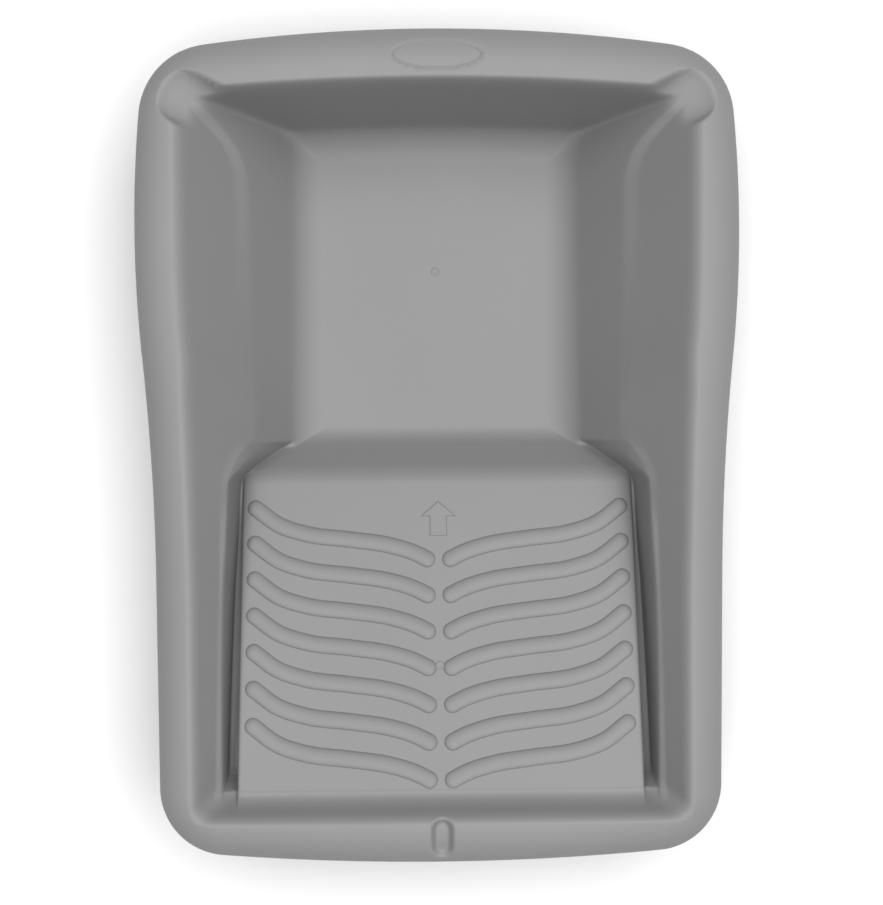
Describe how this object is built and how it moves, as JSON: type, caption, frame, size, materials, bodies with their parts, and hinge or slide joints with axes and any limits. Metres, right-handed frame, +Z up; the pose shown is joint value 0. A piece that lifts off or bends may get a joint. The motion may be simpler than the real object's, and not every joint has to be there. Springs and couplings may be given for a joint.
{
  "type": "paint roller tray",
  "caption": "Deep-well paint roller tray with a ribbed ramp, drain gutters, rolled rim, corner pouring spouts and a handle notch",
  "frame": {"origin": "under the middle of the tray's overall box, on the surface it stands on", "axes": "+X to the right seen from the ramp end, +Y from the ramp end towards the well, +Z up"},
  "size_m": [0.3552, 0.489, 0.105],
  "materials": {
    "tray_plastic": "mid grey moulded plastic with a fine matte texture"
  },
  "bodies": {
    "root": {"right_spout": "tray_plastic", "left_spout": "tray_plastic", "back_rim": "tray_plastic", "handle_notch": "tray_plastic", "right_front_rim": "tray_plastic", "left_front_rim": "tray_plastic", "right_rim": "tray_plastic", "left_rim": "tray_plastic", "back_wall": "tray_plastic", "front_wall": "tray_plastic", "right_side_wall": "tray_plastic", "left_side_wall": "tray_plastic", "right_gutter": "tray_plastic", "left_gutter": "tray_plastic", "ramp": "tray_plastic", "riser": "tray_plastic", "right_well_wall": "tray_plastic", "left_well_wall": "tray_plastic", "well_floor": "tray_plastic", "right_rib_1": "tray_plastic", "left_rib_1": "tray_plastic", "right_rib_2": "tray_plastic", "left_rib_2": "tray_plastic", "right_rib_3": "tray_plastic", "left_rib_3": "tray_plastic", "right_rib_4": "tray_plastic", "left_rib_4": "tray_plastic", "right_rib_5": "tray_plastic", "left_rib_5": "tray_plastic", "right_rib_6": "tray_plastic", "left_rib_6": "tray_plastic", "right_rib_7": "tray_plastic", "left_rib_7": "tray_plastic", "arrow": "tray_plastic"}
  },
  "joints": []
}
